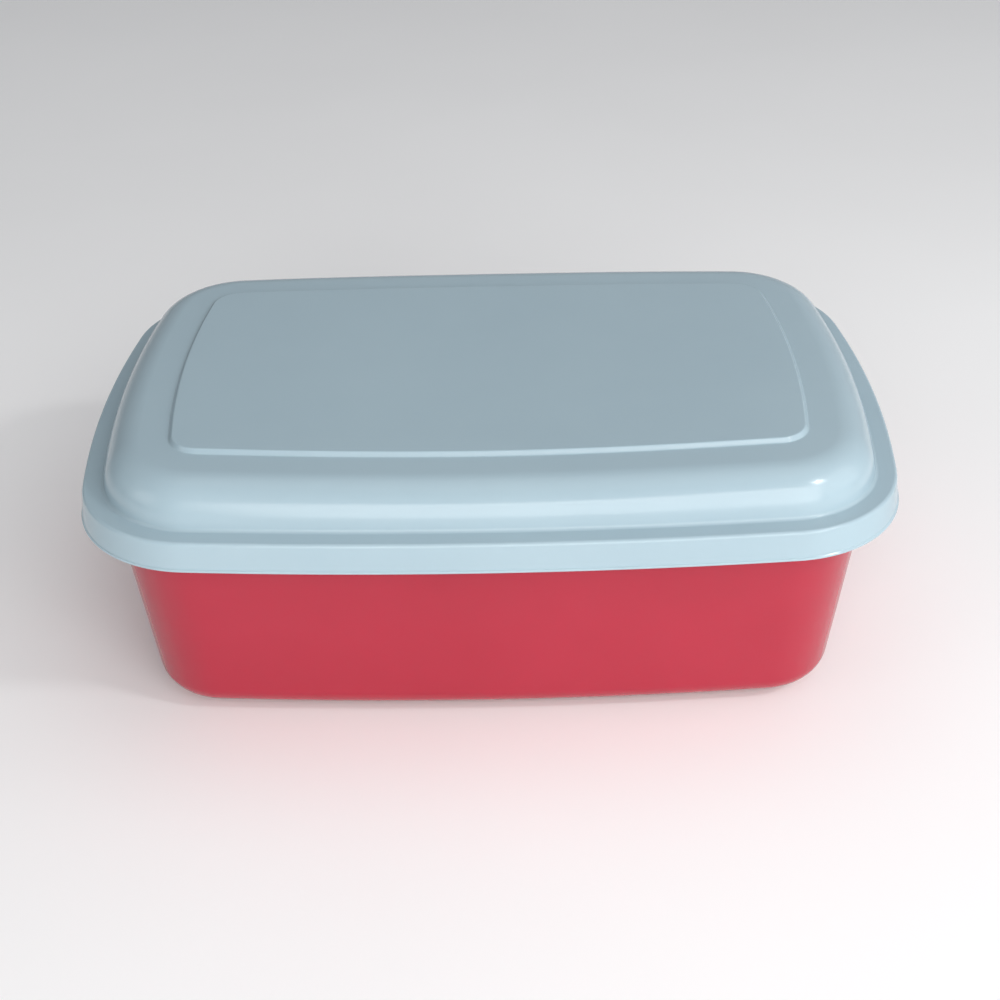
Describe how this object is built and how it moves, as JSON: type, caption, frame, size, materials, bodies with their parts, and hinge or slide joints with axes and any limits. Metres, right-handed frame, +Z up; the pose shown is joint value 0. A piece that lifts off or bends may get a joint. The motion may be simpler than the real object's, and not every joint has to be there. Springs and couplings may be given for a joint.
{
  "type": "food storage container",
  "caption": "Tapered rectangular food tub with rounded corners, a flanged rim and a foot ring, closed by a domed lift-off lid whose skirt covers the rim.",
  "frame": {"origin": "centre of the foot ring's underside, where the container stands", "axes": "+Z up, X along the container's length, Y across it; -Y is the long side seen from the front"},
  "size_m": [0.3398, 0.2268, 0.1213],
  "materials": {
    "tub_plastic": "glossy moulded polypropylene, opaque red",
    "lid_plastic": "semi-gloss moulded polypropylene, pale ice blue, faintly translucent"
  },
  "bodies": {
    "tub": {"tub": "tub_plastic"},
    "lid": {"lid": "lid_plastic"}
  },
  "joints": [
    {"name": "lid_lift", "type": "slide", "parent": "tub", "child": "lid", "axis": [0, 0, 1], "range_m": [0, 0.12]}
  ]
}
